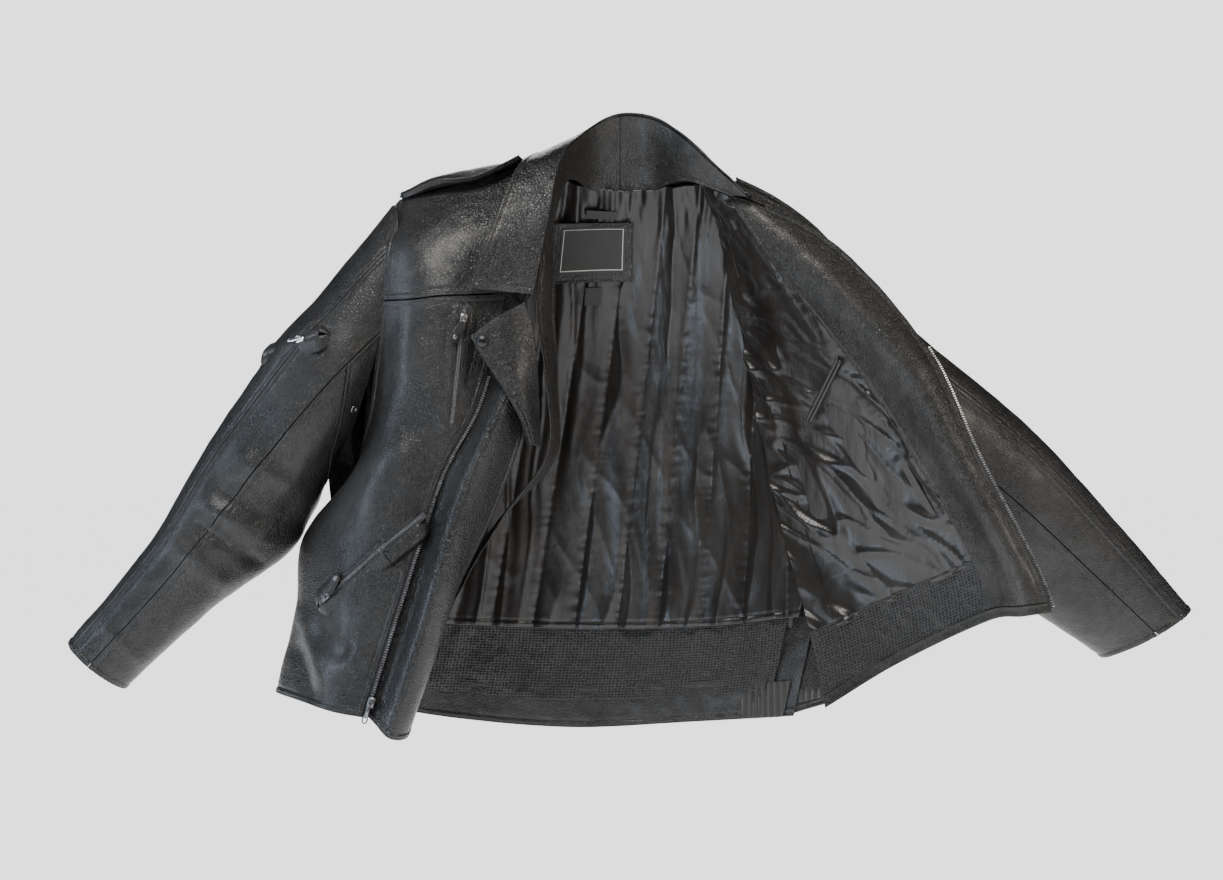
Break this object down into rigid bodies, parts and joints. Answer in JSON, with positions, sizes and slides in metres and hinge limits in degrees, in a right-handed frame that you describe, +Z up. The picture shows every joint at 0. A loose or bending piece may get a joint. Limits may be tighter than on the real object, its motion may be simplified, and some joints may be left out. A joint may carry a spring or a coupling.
{
  "type": "leather riding jacket",
  "caption": "Open black leather riding jacket with an offset front zip, wide snap lapel, pocket zips, quilted satin lining and net hem lining, hung by its shoulders.",
  "frame": {"origin": "middle of the back neck seam's height, on the line between the shoulders, where the jacket is held up", "axes": "+X to the wearer's left, +Y to the wearer's back, +Z up"},
  "size_m": [1.467, 0.3717, 0.8006],
  "materials": {
    "black_leather": "soft grained, semi-matt",
    "satin_lining": "shiny satin, quilted in channels",
    "net_lining": "open net",
    "zip_tape": "woven tape with a metal chain",
    "rib_knit": "ribbed elastic",
    "woven_tag": "plain woven tag",
    "dark_metal": "blackened",
    "bright_metal": "nickel plated"
  },
  "bodies": {
    "back": {"back_yoke": "black_leather", "back_panel": "black_leather", "back_hem_facing": "black_leather", "right_side_elastic": "rib_knit", "left_side_elastic": "rib_knit", "back_liner": "satin_lining", "back_mesh": "net_lining", "label_patch": "black_leather", "fibre_tag": "woven_tag", "size_tag": "woven_tag", "collar_stand": "black_leather", "collar_leaf": "black_leather", "under_collar": "black_leather", "left_front_yoke": "black_leather", "right_shoulder_strap": "black_leather", "left_side_panel": "black_leather"},
    "right_front": {"right_front_yoke": "black_leather", "right_front_panel": "black_leather", "right_wind_flap": "black_leather", "right_front_facing": "black_leather", "right_front_liner": "satin_lining", "chest_pocket_bag": "satin_lining", "hip_pocket_bag": "satin_lining", "main_tape_right": "zip_tape", "main_teeth_right": "dark_metal", "chest_zip": "zip_tape", "hip_zip": "zip_tape"},
    "lapel": {"right_lapel": "black_leather", "right_lapel_facing": "black_leather", "lapel_snap_cap": "dark_metal", "lapel_snap_socket": "dark_metal"},
    "left_front": {"left_front_panel": "black_leather", "left_front_facing": "black_leather", "left_front_liner": "satin_lining", "left_mesh": "net_lining", "left_hem_band": "black_leather", "inner_pocket_welt": "satin_lining", "inner_pocket_bag": "satin_lining", "main_tape_left": "zip_tape", "main_teeth_left": "dark_metal"},
    "right_sleeve": {"right_top_sleeve": "black_leather", "right_mid_sleeve": "black_leather", "right_under_sleeve": "black_leather", "right_underarm_gusset": "black_leather", "right_sleeve_lining": "satin_lining", "arm_zip": "zip_tape", "underarm_eyelet": "dark_metal"},
    "left_sleeve": {"left_top_sleeve": "black_leather", "left_mid_sleeve": "black_leather", "left_under_sleeve": "black_leather", "left_underarm_gusset": "black_leather", "left_sleeve_lining": "satin_lining"},
    "front_slider": {"main_slider": "dark_metal"},
    "front_pull": {"main_pull": "dark_metal"},
    "chest_slider_body": {"chest_slider": "dark_metal"},
    "chest_puller_body": {"chest_puller": "black_leather"},
    "hip_slider_body": {"hip_slider": "dark_metal"},
    "hip_puller_body": {"hip_puller": "black_leather"},
    "arm_slider_body": {"arm_slider": "bright_metal"},
    "arm_pull_body": {"arm_pull": "bright_metal"}
  },
  "joints": [
    {"name": "right_front_fold", "type": "hinge", "parent": "back", "child": "right_front", "pos_m": [-0.15, -0.02, 0.01], "axis": [-0.3905, 0, -0.9206], "range_deg": [0, 30], "deforming": ["right_front_yoke", "right_front_panel", "right_front_liner", "right_front_facing", "collar_stand", "collar_leaf", "under_collar", "right_shoulder_strap"]},
    {"name": "left_front_fold", "type": "hinge", "parent": "back", "child": "left_front", "pos_m": [0.104, 0.024, 0.003], "axis": [0.2164, -0.0433, -0.9753], "range_deg": [0, 60], "deforming": ["left_front_panel", "left_front_facing", "left_front_liner", "left_mesh", "left_hem_band", "left_front_yoke", "left_side_panel"]},
    {"name": "lapel_fold", "type": "hinge", "parent": "right_front", "child": "lapel", "pos_m": [-0.118, -0.1, -0.157], "axis": [-0.1053, -0.0665, 0.9922], "range_deg": [0, 45], "deforming": ["right_lapel", "right_lapel_facing"]},
    {"name": "right_sleeve_swing", "type": "hinge", "parent": "back", "child": "right_sleeve", "pos_m": [-0.33, 0.008, -0.193], "axis": [0, 1, 0], "range_deg": [0, 30], "deforming": ["right_top_sleeve", "right_mid_sleeve", "right_under_sleeve", "right_underarm_gusset", "right_sleeve_lining"]},
    {"name": "left_sleeve_swing", "type": "hinge", "parent": "back", "child": "left_sleeve", "pos_m": [0.305, 0.038, -0.23], "axis": [0, -1, 0], "range_deg": [0, 30], "deforming": ["left_top_sleeve", "left_mid_sleeve", "left_under_sleeve", "left_underarm_gusset", "left_sleeve_lining"]},
    {"name": "front_slide", "type": "slide", "parent": "right_front", "child": "front_slider", "axis": [0.2889, 0.1672, 0.9426], "range_m": [0, 0.09]},
    {"name": "front_pull_swing", "type": "hinge", "parent": "front_slider", "child": "front_pull", "pos_m": [-0.29787, -0.17544, -0.63692], "axis": [-0.9378, 0.2474, 0.2435], "range_deg": [0, 60]},
    {"name": "chest_slide", "type": "slide", "parent": "right_front", "child": "chest_slider_body", "axis": [-0.0944, -0.1723, -0.9805], "range_m": [0, 0.11]},
    {"name": "chest_puller_swing", "type": "hinge", "parent": "chest_slider_body", "child": "chest_puller_body", "pos_m": [-0.19129, -0.10156, -0.17584], "axis": [-0.9629, -0.2341, 0.1339], "range_deg": [0, 40]},
    {"name": "hip_slide", "type": "slide", "parent": "right_front", "child": "hip_slider_body", "axis": [0.7164, -0.3172, 0.6215], "range_m": [0, 0.08]},
    {"name": "hip_puller_swing", "type": "hinge", "parent": "hip_slider_body", "child": "hip_puller_body", "pos_m": [-0.362, -0.11729, -0.51634], "axis": [0.4657, -0.446, -0.7644], "range_deg": [0, 40]},
    {"name": "arm_slide", "type": "slide", "parent": "right_sleeve", "child": "arm_slider_body", "axis": [-0.8393, 0.4674, -0.2776], "range_m": [-0.012, 0.012]},
    {"name": "arm_puller_swing", "type": "hinge", "parent": "arm_slider_body", "child": "arm_pull_body", "pos_m": [-0.40204, -0.06262, -0.19789], "axis": [0.0246, 0.5429, 0.8394], "range_deg": [0, 50]}
  ]
}
